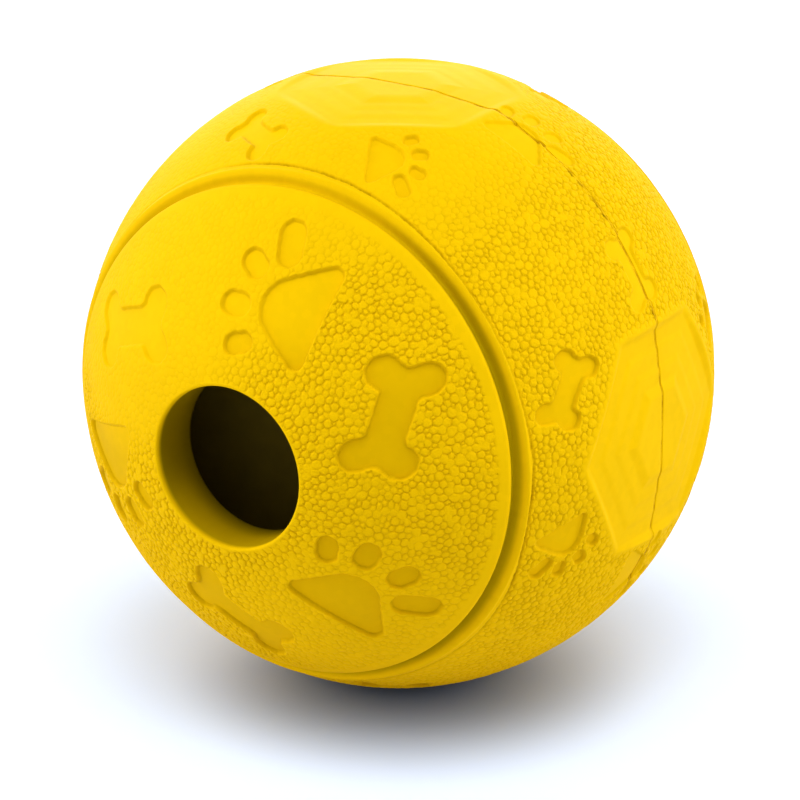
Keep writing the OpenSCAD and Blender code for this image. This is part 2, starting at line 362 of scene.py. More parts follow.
def groove_surface(size, pol, psi):
    """Round the groove: the radius of its lip, the depth of its cut, bareness, and painted shade in the
    groove and the hairline.
    """
    hair_depth, hair_width = 0.24 * MM, 0.15 * MM
    lip_height, lip_width, lip_back = 0.14 * MM, 0.25 * MM, 0.002
    radius = np.full(len(pol), size.ball_r)
    arc = size.ball_r * (pol - size.groove_in)
    around = np.degrees(psi) % 360
    turns = [row[0] for row in GRAIN_BORDER]
    border, mark = np.array([row[1:] for row in GRAIN_BORDER]).T
    border = np.radians(np.interp(around, turns, border, period=360))
    border = size.ball_r * (border - size.groove_in)
    mark = np.interp(around, turns, mark, period=360)
    # The cap's edge, the groove and its lip are bare of grain, up to an uneven border.
    outer = 1 - smooth(0, 0.3 * MM, arc - border + 0.08 * MM * waves(psi, 5, 7, 6))
    plain = smooth(-1.15 * MM, -0.75 * MM, arc) * outer
    # A hairline crevice, never quite straight, is left where the groove's lip meets the grain, drawn darker
    # with painted shade.
    hair = (arc - border + 0.05 * MM * waves(psi, 7, 7, 6)) / hair_width
    hair = np.exp(-hair ** 2) * mark * (0.75 + 0.25 * waves(psi, 9, 7, 5))
    radius -= hair_depth * hair
    # The groove is a little filled at the top of the ball and deeper lower down, and painted shade darkens
    # its floor, more lower down.
    turned = np.degrees((psi + math.pi) % math.tau - math.pi)
    low = smooth(5, 65, np.where(turned > 0, turned, -turned / 2))
    sunk = groove_depth(size, pol)
    shade = (0.17 + 0.33 * low) * smooth(0, 0.5, sunk / size.groove_depth)
    sunk *= 0.4 + 0.35 * low
    # The lip stands a little proud.
    radius += lip_height * np.exp(-((size.ball_r * (pol - size.groove_out + lip_back)) / lip_width) ** 2)
    return radius, sunk, plain, shade, 0.8 * np.clip(hair, 0, 1)


def wear(out):
    """Shares of the grain and of the motifs' relief that are worn away, at unit directions."""
    grain_gone = np.zeros(len(out))
    relief_gone = np.zeros(len(out))
    for way, low, high, of_grain, of_relief in WORN:
        near = smooth(low, high, out @ np.array(way))
        grain_gone = np.maximum(grain_gone, of_grain * near)
        relief_gone = np.maximum(relief_gone, of_relief * near)
    return grain_gone, relief_gone


def press_motifs(size, out, rear, faded, radius, plain, hollow_shade):
    """Sinks the motifs into the radius and marks where they are bare and where painted shade darkens them, in
    place.
    """
    reach = math.cos(1.25 * size.paw_span / 2 / size.ball_r)
    foot_in, foot_width = 0.11 * MM, 0.12 * MM
    for centre, x, y, shape, share in motifs(size, rear):
        near = np.flatnonzero(out @ centre > reach)
        p = np.stack([out[near] @ x, out[near] @ y], axis=1) * size.ball_r
        # Worn edges wander a little, in waves of about 1 mm.
        away = shape(p) + 0.025 * MM * (np.sin(p[:, 0] * 5200) + np.sin(p[:, 1] * 6100 + p[:, 0] * 2000))
        sunk = 1 - smooth(-0.6 * size.edge_w, 0.4 * size.edge_w, away)
        floor = size.ball_r - size.motif_depth * share * (1 - 0.3 * faded[near])
        pressed = radius[near] * (1 - sunk) + np.minimum(floor, radius[near]) * sunk
        radius[near] = np.minimum(radius[near], pressed)
        plain[near] = np.maximum(plain[near], 1 - smooth(-0.05 * MM, 0.35 * MM, away))
        foot = np.exp(-((away + foot_in) / foot_width) ** 2)
        # Painted shade darkens the motifs' floors, most of all on the cap's lower half, and a line of painted
        # shade runs along their feet.
        on_cap = abs(centre[1]) > math.cos(size.groove_in)
        floor_shade = 0.26 * (1 - smooth(0.3, 0.5, out[near, 2])) * (1 if on_cap else 0.3)
        tint = floor_shade * (1 - faded[near]) * sunk + 0.25 * (1 - 0.5 * faded[near]) * foot
        hollow_shade[near] = np.maximum(hollow_shade[near], share * tint)


def skin_surface(size, out, pol, psi, rear):
    """Radius of the skin, its share of grain, and its painted shade in the groove and in hollows, at unit
    directions.
    """
    radius, sunk, plain, shade, hollow_shade = groove_surface(size, pol, psi)
    radius, covered = flat_surface(size, out, radius)
    plain = np.maximum(plain, covered)
    radius -= sunk
    if not rear:
        from_mouth = size.ball_r * pol - 1.01 * size.mouth_r
        plain = np.maximum(plain, 1 - smooth(0.3 * MM, 0.7 * MM, from_mouth))
    worn, faded = wear(out)
    press_motifs(size, out, rear, faded, radius, plain, hollow_shade)
    # The two halves round off towards the seam.
    edge = size.ball_r * (math.pi / 2 - pol)
    radius -= 0.04 * MM * np.exp(-(edge / (0.2 * MM)) ** 2)
    return radius, (1 - plain) * (1 - worn), shade, hollow_shade


def wall_darkness(size, across, along, psi):
    """Painted shade on the bore and the cavity: darker below the mouth's edge and in the cavity, and less on
    the bore's lower side, which faces up, as painted light.
    """
    middle = math.hypot(across, along)
    bore = 1 - smooth(size.ball_r - 0.8 * MM, size.ball_r - 0.35 * MM, middle)
    cavity = 1 - smooth(size.ball_r - size.wall_t, size.ball_r - 3 * MM, middle)
    # Painted light on the bore's lower side, which faces up.
    lit_below = smooth(0.2, 0.95, -np.cos(psi)) * (1 - cavity)
    return (0.85 - 0.35 * lit_below) * bore + 0.15 * cavity


def halving(full, radius_share):
    """Number of columns for a row that is this share of the widest one."""
    fewest = 84
    count = full
    while count > fewest and radius_share < 0.53 * count / full:
        count //= 2
    return count


def seam_angle(size):
    """Angle from the mouth axis at which the skin of a half ends at the bond."""
    return math.pi / 2 - math.asin(size.bond_t / 2 / size.ball_r)


def skin_rows(size, rear, full):
    """Rows of the skin from the bond to the mouth or the rear pole, closer together on steep places."""
    rows = []
    pol = seam_angle(size)
    end = 0 if rear else math.asin((size.mouth_r + size.lip_r) / size.ball_r)
    while pol > end + 0.4 * size.skin_step / size.ball_r:
        rows.append((halving(full, math.sin(pol)), None, None, pol))
        wall = abs(pol - 0.2 * size.groove_in - 0.8 * size.groove_floor) < 0.55 * MM / size.ball_r
        lip = 0 < pol - size.groove_out < 0.9 * MM / size.ball_r
        pol -= size.skin_step * (0.5 if wall or lip else 1) / size.ball_r
    rows.append((1 if rear else rows[-1][0], None, None, end))
    return rows


def mouth_rows(size, columns):
    """Rows over the mouth's rounded edge and down its straight wall."""
    cavity = size.ball_r - size.wall_t
    drop_share = 1.1
    rows = []
    top = math.sqrt(size.ball_r ** 2 - (size.mouth_r + size.lip_r) ** 2)
    for t in (0.2, 0.4, 0.6, 0.8, 1.0):
        across = size.mouth_r + size.lip_r * (1 - t) ** 2
        along = top + size.lip_r * (0.5 * t * (1 - t) - drop_share * t ** 2)
        rows.append((columns, across, along, None))
    low = math.sqrt(cavity ** 2 - size.mouth_r ** 2) + 0.3 * MM
    for t in np.linspace(0.06, 1, 16):
        along = (top - drop_share * size.lip_r) * (1 - t) + low * t
        rows.append((columns, size.mouth_r, along, None))
    rows.append((columns, size.mouth_r + 0.3 * MM, low - 0.35 * MM, None))
    return rows


def inner_outline(size, rear):
    """Points of the cavity's section from the axis or the mouth to the bond, with the disc's seat."""
    step = 0.04
    cavity = size.ball_r - size.wall_t
    disc_in = size.disc_y - size.disc_t / 2 - size.disc_gap
    disc_out = size.disc_y + size.disc_t / 2 + size.disc_gap
    seat = math.sqrt(cavity ** 2 - (size.disc_y - size.disc_t / 2) ** 2) + size.disc_seat
    first = 0 if rear else math.asin((size.mouth_r + 0.8 * MM) / cavity)
    outer = np.arange(first, math.acos(disc_out / cavity) - 0.02, step)
    middle = np.arange(math.acos(disc_in / cavity) + 0.03, seam_angle(size) - 0.01, step)
    inner = [(cavity * math.sin(angle), cavity * math.cos(angle)) for angle in outer]
    inner += [(math.sqrt(cavity ** 2 - disc_out ** 2), disc_out), (seat, disc_out)]
    inner += [(seat, disc_in), (math.sqrt(cavity ** 2 - disc_in ** 2), disc_in)]
    inner += [(cavity * math.sin(angle), cavity * math.cos(angle)) for angle in middle]
    half = size.bond_t / 2
    inner.append((cavity, half))
    # The front half carries the tongue, and the rear half the slot that it enters with the bond round it.
    low = cavity + size.tongue_gap
    high = low + size.tongue_t
    if rear:
        deep = size.tongue_h + half
        inner += [(low - half, half), (low - half, deep), (high + half, deep), (high + half, half)]
    else:
        inner += [(low, half), (low, -size.tongue_h), (high, -size.tongue_h), (high, half)]
    return inner


def shell_rows(size, rear):
    """The widest row's columns, and the rows round a half's section: columns, across, along and angle.

    A row on the skin has only its angle, and any other row only its places across and along.
    """
    full = 64 * round(math.tau * size.ball_r / size.skin_step / 64)
    rows = skin_rows(size, rear, full)
    columns = rows[-2][0]
    if not rear:
        rows += mouth_rows(size, columns)
    inner = inner_outline(size, rear)
    if rear:
        rows.append((1, 0.0, inner[0][1], None))
        inner = inner[1:]
        columns = full // 32
    wanted = full // 4
    for across, along in inner:
        if columns != wanted:
            columns = columns * 2 if columns < wanted else columns // 2
        rows.append((columns, across, along, None))
    widest = size.ball_r - 1.9 * MM
    while columns < full:
        columns = min(columns * 2, full)
        rows.append((columns, widest, size.bond_t / 2, None))
        widest += 0.2 * MM
    return full, rows


def row_faces(first, a, second, b, where):
    """Adds the faces between rows of a and b columns, from their first points, with each face's quarter."""
    if a == 1 or b == 1:
        many, hub, lead = (b, first, second) if a == 1 else (a, second, first)
        j = np.arange(many)
        nxt = (j + 1) % many
        tri = np.stack([np.full(many, hub), lead + j, lead + nxt], axis=1)
        if a != 1:
            tri = tri[:, ::-1]
        where.append(((j * 4) // many, tri))
        return
    if a == b:
        j = np.arange(a)
        nxt = (j + 1) % a
        where.append(((j * 4) // a, np.stack([first + j, second + j, second + nxt, first + nxt], axis=1)))
        return
    swapped = a < b
    if swapped:
        first, a, second, b = second, b, first, a
    j = np.arange(b)
    nxt = (j + 1) % b
    left, middle, right = first + 2 * j, first + 2 * j + 1, first + (2 * j + 2) % a
    near, far = second + j, second + nxt
    for tri in ((left, near, middle), (middle, near, far), (middle, far, right)):
        tri = np.stack(tri, axis=1)
        where.append(((j * 4) // b, tri[:, ::-1] if swapped else tri))


def plain_mesh(name, points, faces):
    """A mesh of arrays of quads and triangles."""
    mesh = bpy.data.meshes.new(name)
    loops = np.concatenate([f.reshape(-1) for f in faces]).astype(np.int32)
    totals = np.concatenate([np.full(len(f), f.shape[1]) for f in faces]).astype(np.int32)
    starts = np.concatenate([[0], np.cumsum(totals)[:-1]]).astype(np.int32)
    mesh.vertices.add(len(points))
    mesh.vertices.foreach_set("co", np.asarray(points, np.float32).reshape(-1))
    mesh.loops.add(len(loops))
    mesh.loops.foreach_set("vertex_index", loops)
    mesh.polygons.add(len(totals))
    mesh.polygons.foreach_set("loop_start", starts)
    mesh.polygons.foreach_set("loop_total", totals)
    mesh.update(calc_edges=True)
    mesh.shade_smooth()
    return mesh


def set_float(mesh, name, values):
    """Stores one number for each point."""
    attribute = mesh.attributes.new(name, "FLOAT", "POINT")
    attribute.data.foreach_set("value", np.asarray(values, np.float32))


def get_float(mesh, name):
    """Reads one number for each point."""
    values = np.zeros(len(mesh.vertices), np.float32)
    mesh.attributes[name].data.foreach_get("value", values)
    return values


def node(tree, kind, sockets=None, **settings):
    """Adds a node with its settings, and a value or a link for each socket named."""
    made = tree.nodes.new(kind)
    for key, value in settings.items():
        setattr(made, key, value)
    for key, value in (sockets or {}).items():
        if isinstance(value, bpy.types.NodeSocket):
            tree.links.new(value, made.inputs[key])
        else:
            made.inputs[key].default_value = value
    return made


def grain_tree(size, material):
    """Geometry nodes that press the pebbled grain into a skin, at rest positions on the ball."""
    tree = bpy.data.node_groups.new("Pebble grain", "GeometryNodeTree")
    face = tree.interface
    face.new_socket("Geometry", in_out="INPUT", socket_type="NodeSocketGeometry")
    for name, kind, value in (
        ("Ball radius", "NodeSocketFloat", size.ball_r), ("Centre height", "NodeSocketFloat", size.stand_h),
        ("Spacing", "NodeSocketFloat", size.grain_pitch), ("Height", "NodeSocketFloat", size.grain_h),
        ("Seed", "NodeSocketInt", 11), ("Material", "NodeSocketMaterial", material),
    ):
        face.new_socket(name, in_out="INPUT", socket_type=kind).default_value = value
    face.new_socket("Geometry", in_out="OUTPUT", socket_type="NodeSocketGeometry")
    given = node(tree, "NodeGroupInput").outputs
    centre = node(tree, "ShaderNodeCombineXYZ", {"Z": given["Centre height"]}).outputs[0]
    # One point for each pebble, spread evenly but not in rows.
    globe = node(tree, "GeometryNodeMeshIcoSphere", {"Radius": given["Ball radius"], "Subdivisions": 7})
    spread = {
        "Mesh": globe.outputs["Mesh"], "Distance Min": given["Spacing"], "Density Max": 9e6,
        "Seed": given["Seed"],
    }
    seeds = node(tree, "GeometryNodeDistributePointsOnFaces", spread, distribute_method="POISSON")
    seeds = node(tree, "GeometryNodeTransform", {"Geometry": seeds.outputs["Points"], "Translation": centre})
    # Where the skin point would be on the plain ball, so that sunk places keep the grain's scale.
    place = node(tree, "GeometryNodeInputPosition").outputs[0]
    arm = node(tree, "ShaderNodeVectorMath", {0: place, 1: centre}, operation="SUBTRACT").outputs[0]
    out = node(tree, "ShaderNodeVectorMath", {0: arm}, operation="NORMALIZE").outputs[0]
    arm = node(tree, "ShaderNodeVectorMath", {0: out, "Scale": given["Ball radius"]}, operation="SCALE")
    rest = node(tree, "ShaderNodeVectorMath", {0: arm.outputs[0], 1: centre}, operation="ADD").outputs[0]
    # A waviness of up to 0.17 mm, in waves of about 1 mm, makes the pebbles less round.
    wave = node(tree, "ShaderNodeTexNoise", {"Vector": rest, "Scale": 900.0, "Detail": 1.0}).outputs["Color"]
    wave = node(tree, "ShaderNodeVectorMath", {0: wave, 1: (0.5, 0.5, 0.5)}, operation="SUBTRACT").outputs[0]
    wave = node(tree, "ShaderNodeVectorMath", {0: wave, "Scale": 0.34 * MM}, operation="SCALE").outputs[0]
    asked = node(tree, "ShaderNodeVectorMath", {0: rest, 1: wave}, operation="ADD").outputs[0]
    # The hull of the pebbles' middles is a net of triangles, and its dual holds the crevices as edges.
    # Each further pair of duals moves the middles apart and makes the pebbles more alike.
    net = node(tree, "GeometryNodePointsToVertices", {"Points": seeds.outputs[0]})
    net = node(tree, "GeometryNodeConvexHull", {"Geometry": net.outputs[0]})
    net = node(tree, "GeometryNodeDualMesh", {"Mesh": net.outputs[0]})
    for _ in range(4):
        middles = node(tree, "GeometryNodeDualMesh", {"Mesh": net.outputs[0]})
        net = node(tree, "GeometryNodeDualMesh", {"Mesh": middles.outputs[0]})
    edge = node(
        tree, "GeometryNodeProximity", {0: net.outputs[0], "Sample Position": asked}, target_element="EDGES")
    picked = node(
        tree, "GeometryNodeSampleNearest", {"Geometry": middles.outputs[0], "Sample Position": asked},
        domain="POINT")
    tone = node(
        tree, "FunctionNodeRandomValue", {"ID": picked.outputs[0], "Seed": given["Seed"]},
        data_type="FLOAT").outputs[1]
    share = {0: edge.outputs["Distance"], 1: given["Spacing"]}
    share = node(tree, "ShaderNodeMath", share, operation="DIVIDE").outputs[0]
    deep = {"Value": share, "From Min": 0.02, "From Max": 0.26, "To Min": 1.0, "To Max": 0.0}
    deep = node(tree, "ShaderNodeMapRange", deep, interpolation_type="SMOOTHSTEP").outputs[0]
    grain = node(tree, "GeometryNodeInputNamedAttribute", {"Name": "grain"}, data_type="FLOAT").outputs[0]
    deep = node(tree, "ShaderNodeMath", {0: deep, 1: grain}, operation="MULTIPLY").outputs[0]
    # Pebbles differ by up to a fifth of their height.
    drop = tone
    for operation, value in (
        ("MULTIPLY", 0.2), ("MULTIPLY", grain), ("ADD", deep), ("MULTIPLY", given["Height"]),
        ("MULTIPLY", -1.0),
    ):
        drop = node(tree, "ShaderNodeMath", {0: drop, 1: value}, operation=operation).outputs[0]
    shift = node(tree, "ShaderNodeVectorMath", {0: out, "Scale": drop}, operation="SCALE").outputs[0]
    kept = given["Geometry"]
    for name, value in (("apart", share), ("tone", tone)):
        stored = {"Geometry": kept, "Name": name, "Value": value}
        kept = node(
            tree, "GeometryNodeStoreNamedAttribute", stored, data_type="FLOAT", domain="POINT").outputs[0]
    moved = node(tree, "GeometryNodeSetPosition", {"Geometry": kept, "Offset": shift})
    real = node(tree, "GeometryNodeRealizeInstances", {"Geometry": moved.outputs[0]})
    done = {"Geometry": real.outputs[0], "Material": given["Material"]}
    done = node(tree, "GeometryNodeSetMaterial", done)
    node(tree, "NodeGroupOutput", {"Geometry": done.outputs[0]})
    return tree


def grained(size, mesh, material):
    """The mesh after the geometry nodes for the grain."""
    body = bpy.data.objects.new("grain_work", mesh)
    bpy.context.scene.collection.objects.link(body)
    modifier = body.modifiers.new("Grain", "NODES")
    modifier.node_group = grain_tree(size, material)
    for item in modifier.node_group.interface.items_tree:
        if item.in_out == "INPUT" and item.name != "Geometry":
            modifier[item.identifier] = item.default_value
    graph = bpy.context.evaluated_depsgraph_get()
    result = bpy.data.meshes.new_from_object(body.evaluated_get(graph), depsgraph=graph)
    body.modifiers.clear()
    bpy.data.objects.remove(body)
    return result


def point_normals(points, faces):
    """Normals averaged over the faces round each point."""
    total = np.zeros_like(points)
    for face in faces:
        diagonal = points[face[:, 2]] - points[face[:, 0]]
        if face.shape[1] == 4:
            normal = np.cross(diagonal, points[face[:, 3]] - points[face[:, 1]])
        else:
            normal = np.cross(points[face[:, 1]] - points[face[:, 0]], diagonal)
        for k in range(face.shape[1]):
            for axis in range(3):
                total[:, axis] += np.bincount(face[:, k], normal[:, axis], len(points))
    size = np.linalg.norm(total, axis=1, keepdims=True)
    return total / np.maximum(size, 1e-20)


def lay_rows(size, rear, rows):
    """The points of all rows, their share of grain, and their painted shade in the groove, in hollows and on
    the bore and the cavity.
    """
    side = 1 if rear else -1
    points = []
    layers = {"grain": [], "shade": [], "hollow_shade": [], "inside": []}
    for columns, across, along, pol in rows:
        psi = angles(columns)
        none = np.zeros(columns)
        if pol is None:
            points.append(ring(across, side * along, psi))
            found = (none, none, none, wall_darkness(size, across, along, psi))
        else:
            out = direction(np.full(columns, math.pi - pol if rear else pol), psi)
            radius, grain, shade, hollow_shade = skin_surface(size, out, np.full(columns, pol), psi, rear)
            points.append(out * radius[:, None])
            found = (grain, shade, hollow_shade, none)
        for layer, values in zip(layers.values(), found):
            layer.append(values)
    points = np.concatenate(points)
    points[:, 2] += size.stand_h
    return points, {name: np.concatenate(layer) for name, layer in layers.items()}


def quarter_piece(name, points, faces, values, normals, material):
    """One closed quarter of a half, with only the points that its faces use."""
    faces = [face for face in faces if len(face)]
    used = np.unique(np.concatenate([face.reshape(-1) for face in faces]))
    renumber = np.zeros(len(points), np.int64)
    renumber[used] = np.arange(len(used))
    mesh = plain_mesh(name, points[used], [renumber[face] for face in faces])
    for key, value in values.items():
        set_float(mesh, key, value[used])
    mesh.materials.append(material)
    mesh.normals_split_custom_set_from_vertices(normals[used])
    piece = bpy.data.objects.new(name, mesh)
    bpy.context.scene.collection.objects.link(piece)
    return piece


def build_half(size, rear, material):
    """One half of the ball as four closed quarter pieces."""
    rows = shell_rows(size, rear)[1]
    points, layers = lay_rows(size, rear, rows)
    counts = [row[0] for row in rows]
    starts = np.concatenate([[0], np.cumsum(counts)[:-1]]).tolist()
    groups = []
    for i in range(len(rows)):
        k = (i + 1) % len(rows)
        if counts[i] > 1 or counts[k] > 1:
            row_faces(starts[i], counts[i], starts[k], counts[k], groups)
    if rear:
        groups = [(where, face[:, ::-1]) for where, face in groups]
    all_faces = [face for where, face in groups]
    mesh = plain_mesh("skin_work", points, all_faces)
    set_float(mesh, "grain", layers["grain"])
    result = grained(size, mesh, material)
    flat = np.zeros(len(result.vertices) * 3, np.float32)
    result.vertices.foreach_get("co", flat)
    points = flat.reshape(-1, 3).astype(float)
    values = {name: get_float(result, name) for name in ("apart", "tone", "grain")}
    values.update((name, layers[name]) for name in ("shade", "hollow_shade", "inside"))
    normals = point_normals(points, all_faces)
    pieces = []
    for quarter in range(4):
        faces = [face[where == quarter] for where, face in groups]
        # Each quarter is closed by the half's own section on either side.
        for turned in (0, 1):
            loop = [start + ((quarter + turned) * n // 4) % n for start, n in zip(starts, counts)]
            faces.append(np.array([loop if turned != rear else loop[::-1]]))
        name = "%s_skin_%d" % ("rear" if rear else "front", quarter + 1)
        pieces.append(quarter_piece(name, points, faces, values, normals, material))
    bpy.data.meshes.remove(mesh)
    bpy.data.meshes.remove(result)
    return pieces


def new_material(name, finish):
    """A material with these finish values, and its tree, principled shader and object coordinates."""
    material = bpy.data.materials.new(name)
    material.use_nodes = True
    tree = material.node_tree
    tree.nodes.clear()
    shader = node(tree, "ShaderNodeBsdfPrincipled", finish)
    node(tree, "ShaderNodeOutputMaterial", {"Surface": shader.outputs[0]})
    return material, tree, shader, node(tree, "ShaderNodeTexCoord").outputs["Object"]


def skin_rubber(colours):
    """Moulded natural rubber, yellow: matt, with painted shade in its crevices, hollows, groove, bore and
    cavity, and faint flow clouds.
    """
    rubber = list(colours.rubber)
    material, tree, shader, where = new_material(
        "moulded yellow rubber",
        {"Roughness": 0.62, "IOR": 1.52, "Specular IOR Level": 0.02, "Specular Tint": rubber})
    apart, grain, hollow_shade, shaded, tone, inside = (
        node(tree, "ShaderNodeAttribute", attribute_name=name).outputs["Fac"]
        for name in ("apart", "grain", "hollow_shade", "shade", "tone", "inside"))
    # The crevices are drawn finer than the mesh, by the distance to the nearest in shares of the spacing.
    crown = {"Value": apart, "From Min": 0.03, "From Max": 0.24}
    crown = node(tree, "ShaderNodeMapRange", crown, interpolation_type="SMOOTHSTEP").outputs[0]
    # Painted shade in the grain's crevices, with the painted shade of the hollows added to it.
    crease_shade = node(tree, "ShaderNodeMapRange", {"Value": crown, "To Min": 0.23, "To Max": 0.0}).outputs[0]
    crease_shade = node(tree, "ShaderNodeMath", {0: crease_shade, 1: grain, 2: hollow_shade}, operation="MULTIPLY_ADD").outputs[0]
    # Clouds about 12 mm across, from the way the rubber flowed in the mould.
    cloud = node(tree, "ShaderNodeTexNoise", {"Vector": where, "Scale": 85.0, "Detail": 3.0}).outputs["Fac"]
    cloud = {"Value": cloud, "From Min": 0.3, "From Max": 0.7, "To Min": 0.975, "To Max": 1.02}
    cloud = node(tree, "ShaderNodeMapRange", cloud).outputs[0]
    speck = node(tree, "ShaderNodeMapRange", {"Value": tone, "To Min": 0.965, "To Max": 1.0}).outputs[0]
    level = node(tree, "ShaderNodeMath", {0: cloud, 1: speck}, operation="MULTIPLY").outputs[0]
    mixed = rubber
    # Painted shade: the crevices and hollows first, then the groove.
    for share, other in ((crease_shade, colours.crease_shade), (shaded, colours.crevice)):
        mixed = {0: share, MIX_A: mixed, MIX_B: list(other)}
        mixed = node(tree, "ShaderNodeMix", mixed, data_type="RGBA").outputs[MIX_RESULT]
    mixed = node(tree, "ShaderNodeVectorMath", {0: mixed, "Scale": level}, operation="SCALE").outputs[0]
    # Painted shade on the bore and the cavity.
    mixed = {0: inside, MIX_A: mixed, MIX_B: list(colours.inside)}
    mixed = node(tree, "ShaderNodeMix", mixed, data_type="RGBA").outputs[MIX_RESULT]
    tree.links.new(mixed, shader.inputs["Base Color"])
    # Fine tooth of the mould's surface, 0.15 mm, over the uneven skin of the pebbles, 0.3 mm.
    fine = node(tree, "ShaderNodeTexNoise", {"Vector": where, "Scale": 6500.0, "Detail": 2.0}).outputs["Fac"]
    rough = node(tree, "ShaderNodeTexNoise", {"Vector": where, "Scale": 3200.0, "Detail": 2.0}).outputs["Fac"]
    relief = node(tree, "ShaderNodeBump", {"Height": rough, "Strength": grain, "Distance": 0.1 * MM})
    relief = {"Height": crown, "Strength": grain, "Distance": 0.07 * MM, "Normal": relief.outputs[0]}
    relief = node(tree, "ShaderNodeBump", relief)
    relief = {"Height": fine, "Strength": 0.25, "Distance": 0.03 * MM, "Normal": relief.outputs[0]}
    relief = node(tree, "ShaderNodeBump", relief)
    tree.links.new(relief.outputs[0], shader.inputs["Normal"])
    return material


def cement_rubber(colours):
    """Cured rubber cement: darker than the rubber, a little glossier, in smears of about 1.5 mm."""
    material, tree, shader, where = new_material(
        "cured rubber cement", {"Roughness": 0.6, "Specular IOR Level": 0.02})
    smear = node(tree, "ShaderNodeTexNoise", {"Vector": where, "Scale": 700.0, "Detail": 3.0}).outputs["Fac"]
    smear = node(tree, "ShaderNodeMapRange", {"Value": smear, "From Min": 0.35, "From Max": 0.6}).outputs[0]
    mixed = {0: smear, MIX_A: list(colours.bond), MIX_B: list(colours.rubber)}
    mixed = node(tree, "ShaderNodeMix", mixed, data_type="RGBA").outputs[MIX_RESULT]
    tree.links.new(mixed, shader.inputs["Base Color"])
    relief = node(tree, "ShaderNodeBump", {"Height": smear, "Strength": 0.3, "Distance": 0.05 * MM})
    tree.links.new(relief.outputs[0], shader.inputs["Normal"])
    return material


def disc_rubber(colours):
    """Moulded rubber of the inner discs: matt, drawn dark as painted shade inside the ball, with soft marks
    of about 2.5 mm from the mould.
    """
    material, tree, shader, where = new_material("moulded disc rubber", {"Roughness": 0.7})
    marks = node(tree, "ShaderNodeTexNoise", {"Vector": where, "Scale": 400.0, "Detail": 4.0}).outputs["Fac"]
    level = node(tree, "ShaderNodeMapRange", {"Value": marks, "To Min": 0.8, "To Max": 1.2}).outputs[0]
    base = {0: list(colours.disc)[:3], "Scale": level}
    base = node(tree, "ShaderNodeVectorMath", base, operation="SCALE").outputs[0]
    tree.links.new(base, shader.inputs["Base Color"])
    relief = node(tree, "ShaderNodeBump", {"Height": marks, "Strength": 0.3, "Distance": 0.1 * MM})
    tree.links.new(relief.outputs[0], shader.inputs["Normal"])
    return material


def studio_paper(colours):
    """White studio paper: matt, with a painted shadow in an oval under the ball, drawn bluer against the
    yellow the ball throws.
    """
    material, tree, shader, where = new_material(
        "white studio paper",
        {"Roughness": 0.9, "Specular IOR Level": 0.1, "Emission Color": (0.045, 0.07, 0.135, 1)})
    # The painted shadow's oval is centred 6 mm from the middle, and turned and narrowed as the photograph's
    # shadow is.
    oval = {
        "Vector": where, "Location": (4.4 * MM, -4.3 * MM, 0), "Rotation": (0, 0, 0.568),
        "Scale": (0.84, 1, 1),
    }
    oval = node(tree, "ShaderNodeMapping", oval, vector_type="TEXTURE").outputs[0]
    away = node(tree, "ShaderNodeVectorMath", {0: oval}, operation="LENGTH").outputs["Value"]
    away = {"Value": away, "From Min": 0.0, "From Max": 33.5 * MM}
    away = node(tree, "ShaderNodeMapRange", away, interpolation_type="SMOOTHSTEP").outputs[0]
    seen = {0: away, MIX_A: list(colours.shade), MIX_B: list(colours.floor)}
    seen = node(tree, "ShaderNodeMix", seen, data_type="RGBA").outputs[MIX_RESULT]
    # The ball itself is lit by a plain grey floor, so that it doesn't glare from below.
    rays = node(tree, "ShaderNodeLightPath").outputs["Is Camera Ray"]
    seen = {0: rays, MIX_A: (0.7, 0.7, 0.7, 1), MIX_B: seen}
    seen = node(tree, "ShaderNodeMix", seen, data_type="RGBA").outputs[MIX_RESULT]
    tree.links.new(seen, shader.inputs["Base Color"])
    # A faint bluish glow, seen by the camera alone, offsets the yellow that the ball throws farther out.
    glow = node(tree, "ShaderNodeMath", {0: away, 1: 3.0}, operation="POWER").outputs[0]
    glow = node(tree, "ShaderNodeMath", {0: glow, 1: rays}, operation="MULTIPLY").outputs[0]
    tree.links.new(glow, shader.inputs["Emission Strength"])
    return material


def add_camera(scene, size, right, up, back):
    """The camera at the photograph's view, found from the ball's outline, seam, mouth and groove."""
    lens = bpy.data.cameras.new("camera")
    lens.lens = 212.6
    lens.sensor_width = 36
    lens.shift_x = 0.00135
    lens.shift_y = -0.0342
    camera = bpy.data.objects.new("camera", lens)
    turned = Matrix((right, up, back)).transposed().to_4x4()
    place = Vector((0, 0, size.stand_h)) + back * VIEW_DISTANCE * size.ball_r
    camera.matrix_world = Matrix.Translation(place) @ turned
    scene.collection.objects.link(camera)
    scene.camera = camera


